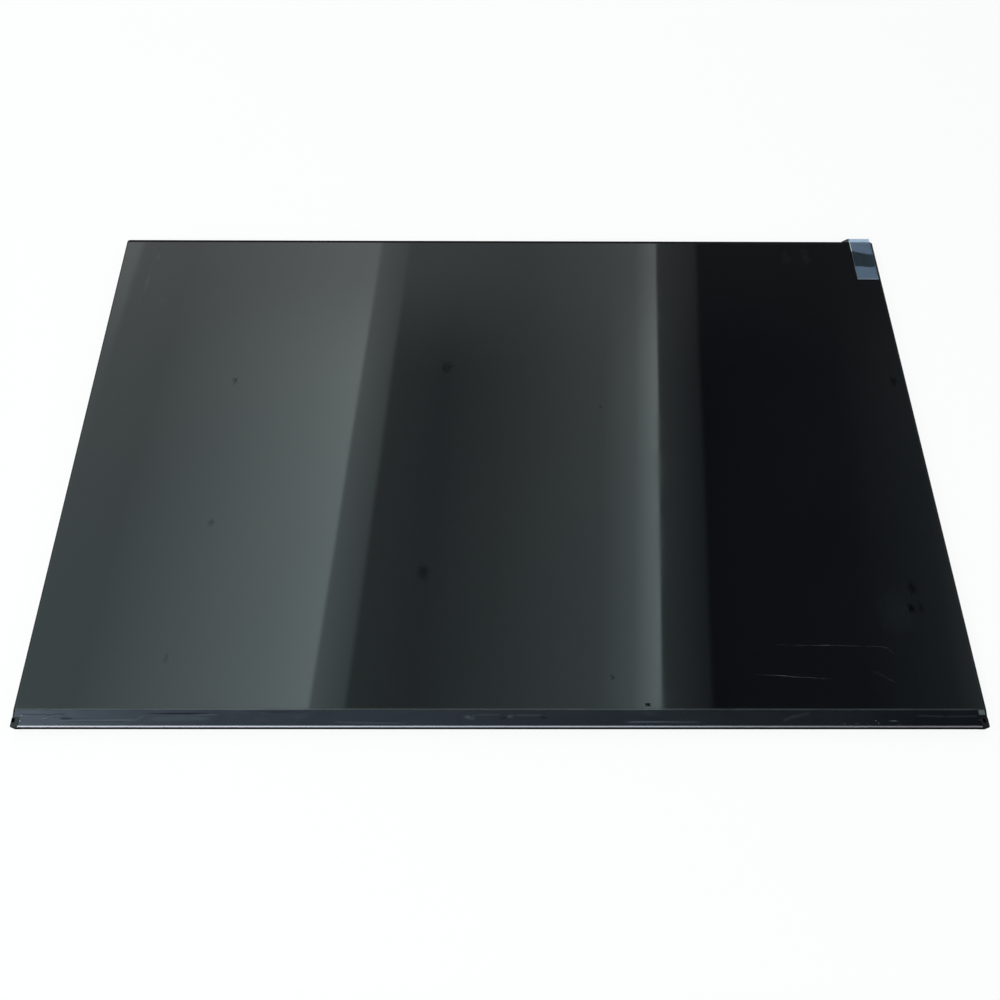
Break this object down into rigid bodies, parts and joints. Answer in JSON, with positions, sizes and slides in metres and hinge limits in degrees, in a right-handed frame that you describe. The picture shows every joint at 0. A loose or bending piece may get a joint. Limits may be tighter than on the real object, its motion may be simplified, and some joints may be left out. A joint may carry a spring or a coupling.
{
  "type": "lcd screen panel",
  "caption": "Thin flat laptop display module with a glossy dark screen under clear film, a folded pull tab, a driver strip along one long edge and a metal back with a circuit board.",
  "frame": {"origin": "under the centre of the outline, on the surface that the module lies on", "axes": "+X along the long side, +Y to the picture's upper edge, +Z out of the screen"},
  "size_m": [0.3508, 0.2289, 0.0054],
  "materials": {
    "clear_film": "clear gloss film",
    "tab_film": "clear bluish film",
    "dark_polarizer": "near-black gloss",
    "panel_glass": "thin clear glass",
    "black_tape": "matt black",
    "black_plastic": "fine matt moulding",
    "milky_sheet": "milky satin",
    "clear_acrylic": "clear acrylic",
    "white_sheet": "white gloss",
    "amber_flex": "amber flexible circuit",
    "lamp_white": "white housing with yellow lens",
    "plain_aluminium": "fine rolled satin",
    "bright_steel": "bright rolled sheet",
    "glossy_dark_tape": "dark gloss film",
    "pale_pad": "pale grey",
    "board_green": "green solder mask",
    "ivory_plastic": "ivory moulding",
    "gold_contact": "gold plate",
    "chip_black": "moulded epoxy",
    "ferrite_grey": "dull ferrite",
    "tan_ceramic": "tan ceramic with tinned ends",
    "resistor_black": "black glaze with tinned ends"
  },
  "bodies": {
    "root": {"protective_film": "clear_film", "pull_tab": "tab_film", "front_polarizer": "dark_polarizer", "colour_filter_glass": "panel_glass", "tft_glass": "panel_glass", "rear_polarizer": "dark_polarizer", "frame_tape": "black_tape", "moulded_frame": "black_plastic", "upper_prism_sheet": "milky_sheet", "lower_prism_sheet": "milky_sheet", "diffuser_sheet": "milky_sheet", "light_guide": "clear_acrylic", "reflector_sheet": "white_sheet", "led_strip": "amber_flex", "leds": "lamp_white", "led_strip_tape": "white_sheet", "back_plate": "plain_aluminium", "bottom_rail": "bright_steel", "edge_tape": "black_tape", "ledge_cover_tape": "glossy_dark_tape", "ledge_pad": "pale_pad", "driver_board": "board_green", "board_tape": "black_tape", "connector_housing": "ivory_plastic", "connector_shell": "bright_steel", "connector_contacts": "gold_contact", "timing_chip": "chip_black", "power_chip": "chip_black", "backlight_chip": "chip_black", "memory_chip": "chip_black", "inductors": "ferrite_grey", "capacitors": "tan_ceramic", "resistors": "resistor_black", "driver_film_1": "amber_flex", "driver_chip_1": "chip_black", "driver_film_2": "amber_flex", "driver_chip_2": "chip_black", "driver_film_3": "amber_flex", "driver_chip_3": "chip_black", "driver_film_4": "amber_flex", "driver_chip_4": "chip_black"}
  },
  "joints": []
}
